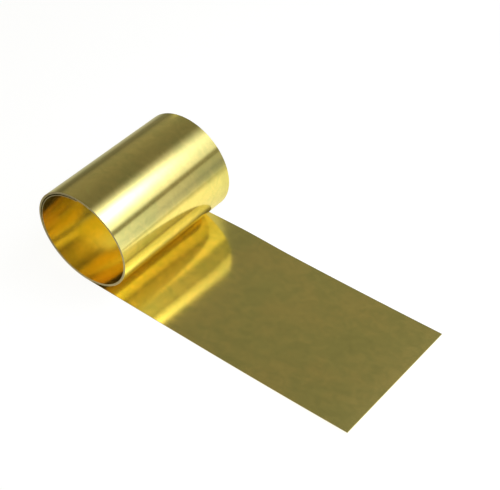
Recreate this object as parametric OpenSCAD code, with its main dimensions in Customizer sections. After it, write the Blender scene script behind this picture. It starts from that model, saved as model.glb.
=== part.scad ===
// Roll of thin brass sheet. One strip is wound up at one end and drawn out flat at the other.
// A turn is eight arcs. Where two arcs meet, both centres lie on the line of the joint, so the strip
// runs on smoothly, and every turn lies one pitch inside the turn before it. The roll is slimmer at its
// near end, so its arcs are cones with parallel axes. The strip is drawn in XY, standing on its far edge,
// and is then laid down on the line under the roll, which brings the flat part of the tail onto Z = 0.

/* [Sheet] */
// Width of the sheet, along the roll
sheet_w = 100; // [40:1:300]
// Thickness of the sheet
sheet_t = 0.4; // [0.1:0.05:0.6]

/* [Roll] */
// Height of the roll at its far end, square to its axis
roll_h = 72; // [50:0.5:120]
// How much wider than high the roll has settled
roll_sag = 4; // [-4:0.5:8]
// How much lower the roll is at its near end than at its far end
near_drop = 4.5; // [0:0.5:6]
// Number of eighths of a turn in the roll
eighths = 28; // [17:1:64]
// Air left between one turn and the next
turn_gap = 0.12; // [0.1:0.02:0.6]
// How far the innermost turn has sprung clear of the turn outside it, at its left and its top
spring_gap = 0.6; // [0:0.1:1.5]

/* [Tail] */
// Length of the tail that lies flat, from the line under the roll
flat_l = 87; // [40:1:300]
// Length of the rest of the tail, which curls up off the table towards its free end
curl_l = 120; // [10:1:200]
// Height of the free end's edge above the table
curl_h = 1.8; // [0.2:0.1:6]

/* [Hidden] */
$fn = 240;
// The directions in which the arcs meet, from the bottom of the roll by way of its left side.
// The slanted ones follow 3-4-5 triangles, which keep the arcs' centres on round numbers.
JOINTS = [[0, -1], [-0.6, -0.8], [-1, 0], [-0.6, 0.8], [0, 1], [0.6, 0.8], [1, 0], [0.6, -0.8]];
// Each eighth of a turn brings the strip this much nearer to the middle of the roll
step_in = (sheet_t + turn_gap) / 8;
// In a 3-4-5 oval the arcs above and below have this much more radius than those at the sides
flatter = 1.25 * roll_sag;
side_r = (roll_h + 3 * step_in) / 2 - 0.2 * flatter;
// The innermost turn starts at the last joint that lies at the bottom
loose_from = 8 * floor((eighths - 1) / 8);
// Each arc is cut from its ring along its two joints, this far inside and outside the strip
cut_reach = roll_h / 6;
tail_l = flat_l + curl_l;
// The curl is drawn in this many straight steps
curl_steps = 10;
// The cones lose this much radius over the width of the sheet, which tilts the roll's axis
taper = near_drop / 2;
slope = taper / sheet_w;
// The strip is drawn past both edges of the sheet by this share of its width, and is trimmed there
past = 0.05;
drawn_w = (1 + 2 * past) * sheet_w;
// Height of the line under the roll at the two edges that are drawn: [far, near]
edge_y = [-past * taper, (1 + past) * taper];

// Radius to the outer face of eighth k, counted inwards from the line that the roll rests on
function arc_r(k) =
    side_r
    + ((k + 1) % 4 < 2 ? flatter : 0)
    - k * step_in
    - (k >= loose_from && floor(k / 2) % 2 == 0 ? spring_gap : 0);

// Direction of the joint at which eighth k starts
function joint_dir(k) = JOINTS[k % 8];

// Centre of eighth k: the last centre, moved along the joint by the change of radius
function arc_centre(k) =
    k == 0
        ? [0, arc_r(0)]
        : arc_centre(k - 1) + (arc_r(k - 1) - arc_r(k)) * joint_dir(k);

// Point at a distance beyond the strip's outer face, on the joint at which eighth k starts
function joint_point(k, beyond) = arc_centre(k) + (arc_r(k) + beyond) * joint_dir(k);

// Height of the tail's underside at x: flat on the table, then curling up to the free end
function tail_rise(x) = curl_h * pow(max(x - flat_l, 0) / curl_l, 2);

// A cone that has radius r at the far edge of the sheet
module slimming_cone(r) {
    cylinder(h = drawn_w, r1 = r - edge_y[0], r2 = r - edge_y[1]);
}

// One eighth of a turn
module strip_arc(k) {
    intersection() {
        translate(arc_centre(k))
        difference() {
            slimming_cone(arc_r(k));
            slimming_cone(arc_r(k) - sheet_t);
        }
        linear_extrude(height = drawn_w)
        polygon([
            joint_point(k, -cut_reach),
            joint_point(k, cut_reach),
            joint_point(k + 1, cut_reach),
            joint_point(k + 1, -cut_reach)
        ]);
    }
}

// The wound part of the strip, from the outermost turn in
module roll() {
    for (k = [0 : eighths - 1]) strip_arc(k);
}

// The part of the tail that lies flat, from the line under the roll
module flat_tail() {
    rotate([0, 90, 0])
    linear_extrude(height = flat_l)
    polygon([
        [0, edge_y[0]],
        [0, edge_y[0] + sheet_t],
        [-drawn_w, edge_y[1] + sheet_t],
        [-drawn_w, edge_y[1]]
    ]);
}

// The rest of the tail, which curls up: four corners at each station along it
module curled_tail() {
    polyhedron(
        points = [
            for (i = [0 : curl_steps]) let (x = flat_l + curl_l * i / curl_steps) each [
                [x, tail_rise(x) + edge_y[0], 0],
                [x, tail_rise(x) + edge_y[0] + sheet_t, 0],
                [x, tail_rise(x) + edge_y[1] + sheet_t, drawn_w],
                [x, tail_rise(x) + edge_y[1], drawn_w]
            ]
        ],
        faces = [
            [0, 1, 2, 3],
            for (i = [0 : curl_steps - 1], j = [0 : 3])
                [4 * i + j, 4 * i + 4 + j, 4 * i + 4 + (j + 1) % 4, 4 * i + (j + 1) % 4],
            [for (j = [3 : -1 : 0]) 4 * curl_steps + j]
        ]
    );
}

// The space between the two edges of the sheet
module sheet_span() {
    translate([-roll_h, -sheet_w / 2, -roll_h]) cube([roll_h + 2 * tail_l, sheet_w, 3 * roll_h]);
}

// The whole strip, centred over its length and width, with the tail's underside at Z = 0
module brass_sheet() {
    // Trimmed square to the sheet, the far end reaches a little further left than where it is drawn
    roll_left = joint_point(2, 0)[0] - pow(slope, 2) * roll_h / 2;
    color("#c9ab4b")
    translate([-(roll_left + tail_l) / 2, 0, 0])
    intersection() {
        translate([0, sheet_w / 2, 0])
        rotate([90 + atan(slope), 0, 0])
        translate([0, 0, -past * sheet_w]) {
            roll();
            flat_tail();
            curled_tail();
        }
        sheet_span();
    }
}

brass_sheet();
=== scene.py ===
"""Roll of thin brass sheet: one strip, wound up at one end and drawn out flat at the other.

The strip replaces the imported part's only node, brass_sheet, and rides on its body, root. Every length is
in metres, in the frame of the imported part: X along the tail, Y along the axis of the roll, Z up.
"""

from __future__ import annotations

import logging
import math
from dataclasses import dataclass, field
from enum import Enum
from typing import Any

import bpy
from mathutils import Matrix, Vector


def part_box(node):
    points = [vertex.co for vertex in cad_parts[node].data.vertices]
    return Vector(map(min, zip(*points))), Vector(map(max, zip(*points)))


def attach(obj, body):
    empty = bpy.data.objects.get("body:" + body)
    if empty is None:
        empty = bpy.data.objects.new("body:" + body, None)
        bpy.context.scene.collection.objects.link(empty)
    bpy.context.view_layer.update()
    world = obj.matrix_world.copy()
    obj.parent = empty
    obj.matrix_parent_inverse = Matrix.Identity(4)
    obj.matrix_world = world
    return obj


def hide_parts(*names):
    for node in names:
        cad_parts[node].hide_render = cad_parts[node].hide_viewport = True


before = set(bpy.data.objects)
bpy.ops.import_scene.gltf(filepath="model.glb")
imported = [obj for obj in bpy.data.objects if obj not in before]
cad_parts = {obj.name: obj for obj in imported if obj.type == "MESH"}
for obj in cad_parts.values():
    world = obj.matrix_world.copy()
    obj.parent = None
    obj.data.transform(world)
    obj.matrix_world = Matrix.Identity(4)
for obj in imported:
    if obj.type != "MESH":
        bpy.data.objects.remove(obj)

LOG = logging.getLogger("brass_roll")
NODE = "brass_sheet"
BODY = "root"
MM = 0.001
# A vertex that is this near to a line or a limit counts as lying on it
SNUG = 0.01 * MM
# The arcs in one turn of the winding, and the angle of each
ARCS = 8
ARC_ANGLE = 2 * math.pi / ARCS
# Watts per square metre at which an area lamp is about as bright as its emission says
LAMP_POWER = 4
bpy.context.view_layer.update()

Colour = tuple[float, float, float]
Triple = tuple[float, float, float]


class Ray(Enum):
    """The rays that a material can tell apart, by the name of their output on the Light Path node."""

    CAMERA = "Is Camera Ray"
    GLOSSY = "Is Glossy Ray"


class Wire:
    """An output socket that takes part in Python expressions."""

    def __init__(self, graph: Graph, socket: bpy.types.NodeSocket) -> None:
        """Keeps the socket and the graph that new nodes go into."""
        self.graph = graph
        self.socket = socket

    def _math(self, operation: str, left: Any, right: Any) -> Wire:
        """Returns the result of a two-sided Math node, each side a Wire or a number."""
        return self.graph.wire("ShaderNodeMath", {"operation": operation}, {0: left, 1: right})

    def __add__(self, other: Any) -> Wire:
        """Returns self + other."""
        return self._math("ADD", self, other)

    def __radd__(self, other: Any) -> Wire:
        """Returns other + self."""
        return self._math("ADD", other, self)

    def __sub__(self, other: Any) -> Wire:
        """Returns self - other."""
        return self._math("SUBTRACT", self, other)

    def __rsub__(self, other: Any) -> Wire:
        """Returns other - self."""
        return self._math("SUBTRACT", other, self)

    def __mul__(self, other: Any) -> Wire:
        """Returns self * other."""
        return self._math("MULTIPLY", self, other)

    def __truediv__(self, other: Any) -> Wire:
        """Returns self / other."""
        return self._math("DIVIDE", self, other)

    def __rtruediv__(self, other: Any) -> Wire:
        """Returns other / self."""
        return self._math("DIVIDE", other, self)

    def __pow__(self, other: Any) -> Wire:
        """Returns self raised to other."""
        return self._math("POWER", self, other)


class Graph:
    """A node tree that is built up from nothing."""

    def __init__(self, tree: bpy.types.NodeTree) -> None:
        """Empties the tree."""
        self.tree = tree
        tree.nodes.clear()

    def add(
        self,
        kind: str,
        settings: dict[str, Any] | None = None,
        inputs: dict[str | int, Any] | None = None,
    ) -> bpy.types.Node:
        """Adds one node.

        Args:
            kind: the node's type.
            settings: its properties, and as stops a ramp's (place, grey) pairs.
            inputs: a value or a Wire for each socket, by name or number.

        Returns:
            The new node.
        """
        node = self.tree.nodes.new(kind)
        for name, value in (settings or {}).items():
            if name == "stops":
                self._set_stops(node.color_ramp, value)
            else:
                setattr(node, name, value)
        for key, value in (inputs or {}).items():
            if isinstance(value, Wire):
                self.tree.links.new(value.socket, node.inputs[key])
            else:
                node.inputs[key].default_value = value
        return node

    def wire(
        self,
        kind: str,
        settings: dict[str, Any] | None = None,
        inputs: dict[str | int, Any] | None = None,
        output: str | int = 0,
    ) -> Wire:
        """Adds one node, as add does, and returns the output that is named or numbered."""
        return Wire(self, self.add(kind, settings, inputs).outputs[output])

    def colour_mix(self, factor: Any, first: Any, second: Any) -> Wire:
        """Returns the mix of two colours, each a Wire or four numbers."""
        return self.wire("ShaderNodeMix", {"data_type": "RGBA"}, {0: factor, 6: first, 7: second}, 2)

    def smooth_step(self, value: Any, low: float, high: float) -> Wire:
        """Makes a soft step out of a value.

        Args:
            value: what to step on, a Wire or a number.
            low: where the result is 0.
            high: where the result is 1.

        Returns:
            The step, from 0 to 1.
        """
        return self.wire(
            "ShaderNodeMapRange",
            {"interpolation_type": "SMOOTHSTEP", "clamp": True},
            {"Value": value, "From Min": low, "From Max": high, "To Min": 0.0, "To Max": 1.0},
        )

    def parts(self, vector: Wire) -> list[Wire]:
        """Returns the X, the Y and the Z of a vector."""
        return [Wire(self, part) for part in self.add("ShaderNodeSeparateXYZ", None, {0: vector}).outputs]

    def distance(self, place: Wire, point: Triple) -> Wire:
        """Returns how far a place is from a point."""
        return self.wire("ShaderNodeVectorMath", {"operation": "DISTANCE"}, {0: place, 1: point}, "Value")

    def scaled(self, vector: Any, amount: Any) -> Wire:
        """Returns a vector or a colour times a number."""
        return self.wire("ShaderNodeVectorMath", {"operation": "SCALE"}, {0: vector, "Scale": amount})

    def ray(self, kind: Ray) -> Wire:
        """Returns 1 where the ray that arrives is of this kind, and 0 for any other."""
        return self.wire("ShaderNodeLightPath", None, None, kind.value)

    @staticmethod
    def _set_stops(ramp: bpy.types.ColorRamp, stops: tuple[tuple[float, float], ...]) -> None:
        """Puts a ramp's stops at their places.

        Args:
            ramp: the ramp, which has two stops to begin with.
            stops: a place from 0 to 1 and a grey for each stop.
        """
        while len(ramp.elements) < len(stops):
            ramp.elements.new(1.0)
        for element, (place, grey) in zip(ramp.elements, stops):
            element.position = place
            element.color = rgba((grey, grey, grey))


def rgba(colour: Colour) -> tuple[float, float, float, float]:
    """Returns a colour with full opacity."""
    return (*colour, 1.0)


def select_only(piece: bpy.types.Object) -> None:
    """Selects one object and nothing else, and makes it the active one.

    Args:
        piece: the object to select.
    """
    bpy.ops.object.select_all(action="DESELECT")
    piece.select_set(True)
    bpy.context.view_layer.objects.active = piece


@dataclass(frozen=True)
class Pattern:
    """A noise from 0 to 1 on the unrolled sheet, finer where its scale is larger."""

    scale: Triple
    detail: float
    roughness: float
    warp: float

    def on(self, graph: Graph, place: Wire) -> Wire:
        """Adds the noise to a graph.

        Args:
            graph: where its nodes go.
            place: the place on the sheet.

        Returns:
            The noise.
        """
        spread = graph.wire("ShaderNodeMapping", None, {"Vector": place, "Scale": self.scale})
        inputs = {
            "Vector": spread,
            "Scale": 1.0,
            "Detail": self.detail,
            "Roughness": self.roughness,
            "Distortion": self.warp,
        }
        return graph.wire("ShaderNodeTexNoise", None, inputs, "Fac")


@dataclass(frozen=True)
class Weights:
    """How much each of the three patterns counts in something that varies over the sheet."""

    clouds: float
    stains: float
    grain: float

    def blend(self, clouds: Wire, stains: Wire, grain: Wire) -> Wire:
        """Returns the weighted sum of the patterns."""
        return clouds * self.clouds + stains * self.stains + grain * self.grain

    def sway(self, clouds: Wire, stains: Wire, grain: Wire) -> Wire:
        """Returns the weighted sum of what each pattern is above or below its middle."""
        return self.blend(clouds - 0.5, stains - 0.5, grain - 0.5)


@dataclass(frozen=True)
class BrassFinish:
    """Bright rolled brass: a soft mirror with a grain along the strip and faint clouds of tarnish.

    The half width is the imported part's. The colour of the cut edges begins edge_start inside it and is
    full from edge_full inside it.
    """

    name: str = "rolled_brass"
    green_gold: Colour = (0.905, 0.770, 0.222)
    red_gold: Colour = (0.955, 0.745, 0.214)
    cut_edge: Colour = (0.62, 0.50, 0.27)
    metal: float = 0.94
    roughness: float = 0.13
    edge_roughness: float = 0.34
    half_width: float = 50 * MM
    edge_start: float = 0.07 * MM
    edge_full: float = 0.03 * MM
    clouds: Pattern = Pattern(scale=(26.0, 26.0, 26.0), detail=3.0, roughness=0.55, warp=0.4)
    stains: Pattern = Pattern(scale=(110.0, 150.0, 110.0), detail=4.0, roughness=0.6, warp=0.8)
    grain: Pattern = Pattern(scale=(14.0, 2600.0, 14.0), detail=3.0, roughness=0.6, warp=0.0)
    in_hue: Weights = Weights(clouds=0.65, stains=0.35, grain=0.0)
    hue_low: float = 0.38
    hue_high: float = 0.62
    tone: float = 0.98
    in_tone: Weights = Weights(clouds=0.28, stains=0.36, grain=0.05)
    in_roughness: Weights = Weights(clouds=0.0, stains=0.05, grain=0.04)
    in_relief: Weights = Weights(clouds=0.85, stains=0.12, grain=0.01)
    relief_height: float = 0.06 * MM

    def material(self) -> bpy.types.Material:
        """Builds the finish.

        Returns:
            The material.
        """
        material = bpy.data.materials.new(self.name)
        material.use_nodes = True
        graph = Graph(material.node_tree)
        sheet = graph.wire("ShaderNodeTexCoord", None, None, "UV")
        patterns = [pattern.on(graph, sheet) for pattern in (self.clouds, self.stains, self.grain)]
        edge = self._edge(graph)
        hue = graph.smooth_step(self.in_hue.blend(*patterns), self.hue_low, self.hue_high)
        shade = graph.colour_mix(hue, rgba(self.green_gold), rgba(self.red_gold))
        tone = self.tone + self.in_tone.sway(*patterns)
        colour = graph.colour_mix(edge, graph.scaled(shade, tone), rgba(self.cut_edge))
        rough = self.roughness + self.in_roughness.sway(*patterns)
        rough = rough + edge * (self.edge_roughness - self.roughness)
        relief = self.in_relief.blend(*patterns)
        bump = graph.wire(
            "ShaderNodeBump", None, {"Strength": 1.0, "Distance": self.relief_height, "Height": relief}
        )
        shader = graph.wire(
            "ShaderNodeBsdfPrincipled",
            None,
            {"Base Color": colour, "Metallic": self.metal, "Roughness": rough, "Normal": bump},
        )
        graph.add("ShaderNodeOutputMaterial", None, {"Surface": shader})
        return material

    def _edge(self, graph: Graph) -> Wire:
        """Tells the cut edges of the sheet from its faces.

        Args:
            graph: where the nodes go.

        Returns:
            1 on the cut edges and 0 on the faces.
        """
        _, along_axis, _ = graph.parts(graph.wire("ShaderNodeTexCoord", None, None, "Object"))
        out = graph.wire("ShaderNodeMath", {"operation": "ABSOLUTE"}, {0: along_axis})
        return graph.smooth_step(out, self.half_width - self.edge_start, self.half_width - self.edge_full)


@dataclass(frozen=True)
class EndShape:
    """The shape that the winding has settled into at one end of the roll.

    Its half width and half height are to the outside. The shift is how far its middle lies along the
    tail from the line that it rests on, and the lean is how far it leans that way for each length of
    height.
    """

    half_width: float
    half_height: float
    shift: float
    lean: float


@dataclass
class WoundStrip:
    """The strip of sheet, wound up at one end.

    A turn is eight arcs, and every turn lies one pitch inside the turn before it. The winding is round
    at first, and is then pressed into the shapes of its two ends.
    """

    name: str = "brass_strip"
    width: float = 99.97 * MM
    thickness: float = 0.4 * MM
    outer_radius: float = 36.4 * MM
    eighths: int = 28
    turn_gap: float = 0.12 * MM
    spring_gap: float = 0.6 * MM
    flat_length: float = 87 * MM
    curl_length: float = 120 * MM
    curl_height: float = 1.8 * MM
    arc_steps: int = 14
    width_steps: int = 16
    tail_steps: int = 69
    lift: float = 0.8 * MM
    lift_run: float = 50 * MM
    lift_reach: float = 40 * MM
    inset: float = 0.02 * MM
    cage_size: float = 80 * MM
    eased: float = 0.05 * MM
    sharp_angle: float = math.radians(60)
    smooth_angle: float = math.radians(35)
    near_end: EndShape = EndShape(37.35 * MM, 33.75 * MM, shift=-0.6 * MM, lean=-0.0267)
    far_end: EndShape = EndShape(36.79 * MM, 35.97 * MM, shift=0.79 * MM, lean=0.0128)
    tail_length: float = field(init=False)
    tail_step: float = field(init=False)
    nip_x: float = field(init=False)
    mid_z: float = field(init=False)
    step_in: float = field(init=False)
    loose_from: int = field(init=False)

    def __post_init__(self) -> None:
        """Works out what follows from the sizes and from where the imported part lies."""
        _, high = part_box(NODE)
        self.tail_length = self.flat_length + self.curl_length
        self.tail_step = self.tail_length / self.tail_steps
        self.nip_x = high.x - self.tail_length - self.inset
        self.mid_z = self.thickness / 2
        self.step_in = (self.thickness + self.turn_gap) / ARCS
        self.loose_from = ARCS * ((self.eighths - 1) // ARCS)

    def build(self) -> bpy.types.Object:
        """Models the strip.

        Returns:
            The finished object, without its finish.
        """
        strip = self._first_piece()
        self._draw_tail(strip)
        reach = self._wind(strip)
        self._unroll_map(strip)
        self._settle(strip, reach)
        self._lift_edge(strip)
        self._thicken(strip)
        return strip

    def dress(self, strip: bpy.types.Object, material: bpy.types.Material) -> None:
        """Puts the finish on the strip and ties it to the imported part.

        Args:
            strip: the finished object.
            material: its finish.
        """
        strip.data.materials.append(material)
        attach(strip, BODY)
        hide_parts(NODE)

    def _first_piece(self) -> bpy.types.Object:
        """Adds the first short length of the tail, from the line that the roll rests on.

        Returns:
            The new object. Its map gives the distance from the tail's free end and from the near edge.
        """
        bpy.ops.object.select_all(action="DESELECT")
        place = (self.nip_x + self.tail_step / 2, 0.0, self.mid_z)
        bpy.ops.mesh.primitive_grid_add(
            x_subdivisions=1, y_subdivisions=self.width_steps, size=self.width, location=place
        )
        strip = bpy.context.active_object
        strip.name = strip.data.name = self.name
        bpy.ops.object.mode_set(mode="EDIT")
        bpy.ops.transform.resize(value=(self.tail_step / self.width, 1, 1), center_override=place)
        bpy.ops.object.mode_set(mode="OBJECT")
        bpy.ops.object.transform_apply(location=True, rotation=True, scale=True)
        for corner in strip.data.loops:
            point = strip.data.vertices[corner.vertex_index].co
            where = (self.tail_length - (point.x - self.nip_x), point.y + self.width / 2)
            strip.data.uv_layers.active.data[corner.index].uv = where
        return strip

    def _select_line(self, strip: bpy.types.Object, x: float) -> None:
        """Selects one line across the strip, and nothing else, in edit mode.

        Args:
            strip: the object, still flat there.
            x: where the line lies.
        """
        bpy.ops.object.mode_set(mode="EDIT")
        bpy.ops.mesh.select_mode(type="VERT")
        bpy.ops.mesh.select_all(action="DESELECT")
        bpy.ops.object.mode_set(mode="OBJECT")
        for vertex in strip.data.vertices:
            vertex.select = abs(vertex.co.x - x) < SNUG
        bpy.ops.object.mode_set(mode="EDIT")

    def _tail_rise(self, run: float) -> float:
        """Returns the height of the curl at a distance along the tail."""
        return self.curl_height * max((run - self.flat_length) / self.curl_length, 0.0) ** 2

    def _draw_tail(self, strip: bpy.types.Object) -> None:
        """Extrudes the tail to its free end, which curls up off the table.

        Args:
            strip: the object with its first piece.
        """
        self._select_line(strip, self.nip_x + self.tail_step)
        for step in range(1, self.tail_steps):
            run = step * self.tail_step
            rise = self._tail_rise(run + self.tail_step) - self._tail_rise(run)
            bpy.ops.mesh.extrude_region_move(
                TRANSFORM_OT_translate={"value": (self.tail_step, 0.0, rise)}
            )
        bpy.ops.object.mode_set(mode="OBJECT")

    def _arc_radius(self, eighth: int) -> float:
        """Works out the radius of an eighth of a turn, to the middle of the sheet.

        Args:
            eighth: its number, counted inwards from the line that the roll rests on.

        Returns:
            The radius.
        """
        # Less radius up to the left joint keeps the innermost turn clear there and at the top
        sprung = eighth >= self.loose_from and eighth // 2 % 2 == 0
        radius = self.outer_radius - self.thickness / 2 - eighth * self.step_in
        return radius - (self.spring_gap if sprung else 0.0)

    def _wind(self, strip: bpy.types.Object) -> list[Vector]:
        """Spins the other end of the strip up into the roll.

        Args:
            strip: the object with its tail.

        Returns:
            The left, the top and the right of the outermost turn, in the middle of the sheet.
        """
        self._select_line(strip, self.nip_x)
        centre = Vector((self.nip_x, 0.0, self.mid_z + self._arc_radius(0)))
        reach = []
        for eighth in range(self.eighths):
            if eighth:
                turned = eighth * ARC_ANGLE
                joint = Vector((-math.sin(turned), 0.0, -math.cos(turned)))
                centre += (self._arc_radius(eighth - 1) - self._arc_radius(eighth)) * joint
                if eighth in (2, 4, 6):  # The joints at the left, the top and the right
                    reach.append(centre + self._arc_radius(eighth) * joint)
            bpy.ops.mesh.spin(
                steps=self.arc_steps, angle=-ARC_ANGLE, center=centre, axis=(0.0, 1.0, 0.0)
            )
        bpy.ops.object.mode_set(mode="OBJECT")
        return reach

    def _unroll_map(self, strip: bpy.types.Object) -> None:
        """Carries the first piece's map along the strip, as if the sheet were flat.

        Args:
            strip: the wound object.
        """
        bpy.ops.object.mode_set(mode="EDIT")
        bpy.ops.mesh.select_all(action="SELECT")
        bpy.ops.object.mode_set(mode="OBJECT")
        strip.data.polygons.active = 0
        bpy.ops.object.mode_set(mode="EDIT")
        bpy.ops.uv.select_all(action="SELECT")
        bpy.ops.uv.follow_active_quads(mode="LENGTH_AVERAGE")
        bpy.ops.object.mode_set(mode="OBJECT")

    def _roll_vertices(self, strip: bpy.types.Object) -> list[int]:
        """Finds the roll's vertices, which lie beyond the tail on the unrolled map.

        Args:
            strip: the wound object with its map.

        Returns:
            The vertices' numbers.
        """
        places = strip.data.uv_layers.active.data
        start = self.tail_length - SNUG
        return sorted({c.vertex_index for c in strip.data.loops if places[c.index].uv.x > start})

    def _settle(self, strip: bpy.types.Object, reach: list[Vector]) -> None:
        """Presses the round winding into the shape that each of its ends has settled into.

        Args:
            strip: the wound object with its map.
            reach: the left, the top and the right of the outermost turn, in the middle of the sheet.
        """
        group = strip.vertex_groups.new(name="roll")
        group.add(self._roll_vertices(strip), 1.0, "REPLACE")
        left, top, right = reach
        middle, low = (left.x + right.x) / 2, self.mid_z
        bpy.ops.object.select_all(action="DESELECT")
        bpy.ops.object.add(type="LATTICE", location=(self.nip_x, 0.0, low + self.cage_size / 2))
        cage = bpy.context.active_object
        cage.data.points_u = cage.data.points_v = cage.data.points_w = 2
        for axis in "uvw":
            setattr(cage.data, "interpolation_type_" + axis, "KEY_LINEAR")
        cage.scale = (self.cage_size, self.width, self.cage_size)
        bpy.context.view_layer.update()
        for point in cage.data.points:
            rest = cage.matrix_world @ point.co
            end = self.near_end if rest.y < 0 else self.far_end
            half_height = end.half_height - self.thickness / 2
            wide = (end.half_width - self.thickness / 2) / ((right.x - left.x) / 2)
            rise = (rest.z - low) * half_height / ((top.z - low) / 2)
            sideways = (rest.x - middle) * wide + end.shift + end.lean * (rise - half_height)
            place = Vector((self.nip_x + sideways, rest.y, low + rise))
            point.co_deform = cage.matrix_world.inverted() @ place
        select_only(strip)
        press = strip.modifiers.new("settle", "LATTICE")
        press.object = cage
        press.vertex_group = group.name
        bpy.ops.object.modifier_apply(modifier=press.name)
        bpy.data.objects.remove(cage)
        strip.vertex_groups.clear()

    def _lift_edge(self, strip: bpy.types.Object) -> None:
        """Lifts the far edge of the tail a little beside the roll, which shapes the reflections there.

        Args:
            strip: the settled object.
        """
        select_only(strip)
        bpy.ops.object.mode_set(mode="EDIT")
        bpy.ops.mesh.select_all(action="DESELECT")
        bpy.ops.object.mode_set(mode="OBJECT")
        middle = self.nip_x + self.lift_run
        for vertex in strip.data.vertices:
            on_line = abs(vertex.co.x - middle) < self.tail_step / 2
            vertex.select = on_line and vertex.co.y > self.width / 2 - SNUG
        bpy.ops.object.mode_set(mode="EDIT")
        bpy.ops.transform.translate(
            value=(0.0, 0.0, self.lift),
            use_proportional_edit=True,
            use_proportional_connected=True,
            proportional_edit_falloff="SMOOTH",
            proportional_size=self.lift_reach,
        )
        bpy.ops.object.mode_set(mode="OBJECT")

    def _thicken(self, strip: bpy.types.Object) -> None:
        """Gives the sheet its thickness and its eased edges.

        Args:
            strip: the settled object.
        """
        select_only(strip)
        wall = strip.modifiers.new("wall", "SOLIDIFY")
        wall.thickness = self.thickness
        wall.offset = 0.0
        wall.use_even_offset = True
        bpy.ops.object.modifier_apply(modifier=wall.name)
        ease = strip.modifiers.new("ease", "BEVEL")
        ease.width = self.eased
        ease.segments = 1
        ease.limit_method = "ANGLE"
        ease.angle_limit = self.sharp_angle
        bpy.ops.object.modifier_apply(modifier=ease.name)
        bpy.ops.object.shade_smooth_by_angle(angle=self.smooth_angle)


@dataclass(frozen=True)
class SoftBox:
    """A card of light, brightest around one spot and soft at its edges.

    Its light falls on the side that its run and rise turn their back to: -X for a run along Y and a
    rise along Z. The hot spot is in metres from the corner, along the run and the rise, and so is its
    reach. The soft margins are shares of the card, at both ends of its run and at the foot and the head
    of its rise.
    """

    name: str
    corner: Triple
    run: Triple
    rise: Triple
    glow: float
    base_glow: float
    hot_spot: tuple[float, float]
    hot_reach: tuple[float, float]
    tint: Colour
    soft_run: float = 0.02
    soft_low: float = 0.001
    soft_high: float = 0.15

    def light(self) -> bpy.types.Object:
        """Adds the lamp.

        Returns:
            The lamp's object.
        """
        corner, run, rise = (Vector(side) for side in (self.corner, self.run, self.rise))
        along, up = run.normalized(), rise.normalized()
        axes = Matrix((along, up, along.cross(up))).transposed()
        place = corner + (run + rise) / 2
        bpy.ops.object.light_add(type="AREA", location=place, rotation=axes.to_euler())
        lamp = bpy.context.active_object
        lamp.name = lamp.data.name = self.name
        lamp.data.shape = "RECTANGLE"
        lamp.data.size, lamp.data.size_y = run.length, rise.length
        lamp.data.energy = LAMP_POWER * run.length * rise.length
        lamp.visible_camera = False
        lamp.data.use_nodes = True
        graph = Graph(lamp.data.node_tree)
        across, upward, _ = graph.parts(graph.wire("ShaderNodeNewGeometry", None, None, "Parametric"))
        away = ((across * run.length - self.hot_spot[0]) / self.hot_reach[0]) ** 2.0
        away = away + ((upward * rise.length - self.hot_spot[1]) / self.hot_reach[1]) ** 2.0
        shine = self.base_glow + (self.glow - self.base_glow) / (1.0 + away)
        margins = (
            (across, self.soft_run),
            (1.0 - across, self.soft_run),
            (upward, self.soft_low),
            (1.0 - upward, self.soft_high),
        )
        for inwards, margin in margins:
            shine = shine * graph.smooth_step(inwards, 0.0, margin)
        glow = graph.wire("ShaderNodeEmission", None, {"Color": rgba(self.tint), "Strength": shine})
        graph.add("ShaderNodeOutputLight", None, {"Surface": glow})
        return lamp


@dataclass(frozen=True)
class Pool:
    """Light that is brightest around a point and falls off with the distance from it."""

    strength: float
    centre: Triple
    reach: float
    steepness: float

    def at(self, graph: Graph, place: Wire) -> Wire:
        """Returns the light at a place."""
        return self.strength / (1.0 + (graph.distance(place, self.centre) / self.reach) ** self.steepness)


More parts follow.
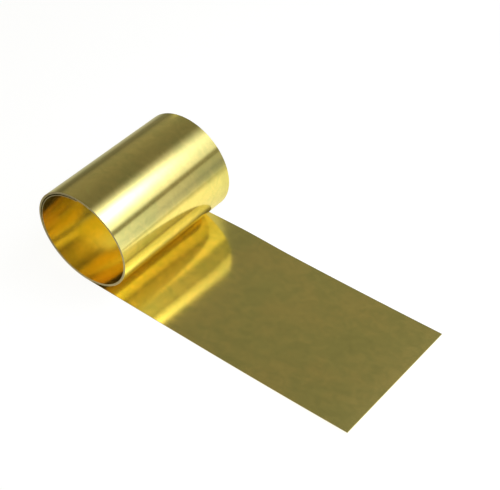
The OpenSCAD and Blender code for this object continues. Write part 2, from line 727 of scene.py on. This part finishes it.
@dataclass(frozen=True)
class Studio:
    """The pale floor, the room above it and the soft boxes.

    The camera sees the floor and the room white. The brass mirrors a floor whose light falls off with
    distance, with a painted golden glow behind the roll that only reflections see, and a dim room. The
    room's levels are greys by the sine of the height above the horizon, and the side slant makes it
    lighter towards +X.
    """

    floor_reach: float = 4.0
    floor_drop: float = 0.05 * MM
    seen_floor: Colour = (1.0, 0.996, 0.977)
    seen_floor_glow: float = 0.925
    shadow_share: float = 0.25
    matt_floor: Colour = (0.8, 0.8, 0.79)
    mirrored_floor: Colour = (1.0, 1.02, 0.86)
    far_floor_glow: float = 0.17
    wide_pool: Pool = Pool(strength=0.5, centre=(0.1, 0.0, 0.0), reach=0.42, steepness=3.0)
    close_pool: Pool = Pool(strength=0.5, centre=(0.07, 0.001, 0.0), reach=0.137, steepness=6.0)
    # A golden glow painted on the floor behind the roll, seen only in reflections, which gives the bore a
    # painted golden light
    painted_gold_glow: Colour = (1.2, 1.02, 0.16)
    painted_glow_spot: Triple = (-0.12, 0.09, 0.0)
    painted_glow_outer: float = 0.1
    painted_glow_inner: float = 0.03
    seen_room: Colour = (0.96, 0.958, 0.93)
    mirrored_room: Colour = (1.0, 1.0, 0.85)
    room_levels: tuple[tuple[float, float], ...] = (
        (0.0, 0.12),
        (0.08, 0.06),
        (0.14, 0.03),
        (0.2, 0.1),
        (0.3, 0.16),
        (0.5, 0.195),
        (0.7, 0.195),
        (0.9, 0.145),
    )
    back_wall: Pool = Pool(strength=0.21, centre=(-0.643, 0.695, 0.208), reach=0.37, steepness=4.0)
    side_slant: float = 0.3

    def floor(self) -> None:
        """Adds the white floor."""
        bpy.ops.object.select_all(action="DESELECT")
        bpy.ops.mesh.primitive_plane_add(size=2 * self.floor_reach, location=(0.0, 0.0, -self.floor_drop))
        floor = bpy.context.active_object
        floor.name = floor.data.name = "floor"
        bpy.ops.object.transform_apply(location=True, rotation=True, scale=True)
        floor.data.materials.append(self._paper())

    def _paper(self) -> bpy.types.Material:
        """Builds the floor's white, which keeps the shadow.

        Returns:
            The material.
        """
        material = bpy.data.materials.new("white_paper")
        material.use_nodes = True
        graph = Graph(material.node_tree)
        camera, glossy = graph.ray(Ray.CAMERA), graph.ray(Ray.GLOSSY)
        spot = graph.wire("ShaderNodeTexCoord", None, None, "Object")
        pool = self.far_floor_glow + self.wide_pool.at(graph, spot) + self.close_pool.at(graph, spot)
        # Painted golden glow on the floor behind the roll, for reflections only
        painted_gold_glow = graph.smooth_step(graph.distance(spot, self.painted_glow_spot), self.painted_glow_outer, self.painted_glow_inner)
        warm = graph.colour_mix(painted_gold_glow, rgba(self.mirrored_floor), rgba(self.painted_gold_glow))
        shade = graph.colour_mix(camera, warm, rgba(self.seen_floor))
        strength = camera * self.seen_floor_glow + glossy * pool
        glow = graph.wire("ShaderNodeEmission", None, {"Color": shade, "Strength": strength})
        matt = graph.wire("ShaderNodeBsdfDiffuse", None, {"Color": rgba(self.matt_floor)})
        dark = graph.wire("ShaderNodeEmission", None, {"Strength": 0.0})
        hidden = camera * (1.0 - self.shadow_share) + glossy
        share = graph.wire("ShaderNodeMixShader", None, {0: hidden, 1: matt, 2: dark})
        both = graph.wire("ShaderNodeAddShader", None, {0: share, 1: glow})
        graph.add("ShaderNodeOutputMaterial", None, {"Surface": both})
        return material

    def room(self) -> None:
        """Lights the room: white to the camera, dim and a little warm to everything else."""
        world = bpy.data.worlds.new("room")
        bpy.context.scene.world = world
        world.use_nodes = True
        graph = Graph(world.node_tree)
        way = graph.wire("ShaderNodeTexCoord", None, None, "Generated")
        across, _, height = graph.parts(way)
        level = graph.wire("ShaderNodeValToRGB", {"stops": self.room_levels}, {0: height})
        amount = (level + self.back_wall.at(graph, way)) * (1.0 + across * self.side_slant)
        dim = graph.scaled(self.mirrored_room, amount)
        shade = graph.colour_mix(graph.ray(Ray.CAMERA), dim, rgba(self.seen_room))
        light = graph.wire("ShaderNodeBackground", None, {"Color": shade, "Strength": 1.0})
        graph.add("ShaderNodeOutputWorld", None, {"Surface": light})

    def lamps(self) -> list[bpy.types.Object]:
        """Adds the soft boxes.

        Returns:
            Their objects.
        """
        boxes = (
            SoftBox(
                name="key_box",
                corner=(0.38, -0.45, 0.363),
                run=(0.0, 1.35, 0.0),
                rise=(-0.536, 0.0, 0.14),
                glow=3.5,
                base_glow=0.32,
                hot_spot=(0.605, 0.298),
                hot_reach=(0.057, 0.092),
                tint=(1.0, 1.12, 1.52),
                soft_low=0.14,
                soft_high=0.48,
            ),
            SoftBox(
                name="side_card",
                corner=(0.23, -0.45, 0.013),
                run=(0.0, 0.9, 0.0),
                rise=(0.0, 0.0, 0.208),
                glow=0.95,
                base_glow=0.0,
                hot_spot=(0.48, 0.08),
                hot_reach=(0.10, 0.25),
                tint=(1.0, 1.13, 1.4),
                soft_high=0.1,
            ),
            SoftBox(
                name="back_card",
                corner=(-0.098, 0.105, 0.03),
                run=(-0.08, 0.0, 0.0),
                rise=(0.0, 0.0, 0.09),
                glow=0.36,
                base_glow=0.1,
                hot_spot=(0.035, 0.045),
                hot_reach=(0.05, 0.06),
                tint=(1.0, 0.98, 0.5),
                soft_run=0.2,
                soft_low=0.2,
            ),
        )
        return [box.light() for box in boxes]


@dataclass(frozen=True)
class Viewpoint:
    """The photograph's camera, found from the outline of the roll and the tail.

    Its turn, tilt and roll are in degrees, its distance from the target is in metres, and its lens and
    sensor are in millimetres.
    """

    turn: float = 39.07
    tilt: float = 42.22
    roll: float = -0.31
    distance: float = 0.85703
    target: Triple = (-0.02255, 0.0414, 0.0)
    lens: float = 92.69
    sensor: float = 36.0

    def camera(self) -> None:
        """Adds the camera and makes it the scene's own."""
        turn, tilt = math.radians(self.turn), math.radians(self.tilt)
        back = Vector((math.sin(turn) * math.cos(tilt), -math.cos(turn) * math.cos(tilt), math.sin(tilt)))
        right = Vector((math.cos(turn), math.sin(turn), 0.0))
        axes = Matrix((right, back.cross(right), back)).transposed()
        axes = axes @ Matrix.Rotation(math.radians(self.roll), 3, "Z")
        place = Vector(self.target) + self.distance * back
        bpy.ops.object.camera_add(location=place, rotation=axes.to_euler())
        camera = bpy.context.active_object
        camera.name = camera.data.name = "camera"
        camera.data.sensor_width = self.sensor
        camera.data.lens = self.lens
        bpy.context.scene.camera = camera


def main() -> None:
    """Builds the strip, the studio and the camera, and reports each piece."""
    logging.basicConfig(level=logging.INFO, format="%(name)s: %(message)s")
    bpy.context.scene.view_settings.view_transform = "Standard"
    Viewpoint().camera()
    winding = WoundStrip()
    strip = winding.build()
    winding.dress(strip, BrassFinish().material())
    LOG.info("%s: %d faces", strip.name, len(strip.data.polygons))
    studio = Studio()
    studio.floor()
    studio.room()
    for lamp in studio.lamps():
        LOG.info("%s: %.2f W", lamp.name, lamp.data.energy)


if __name__ == "__main__":
    main()
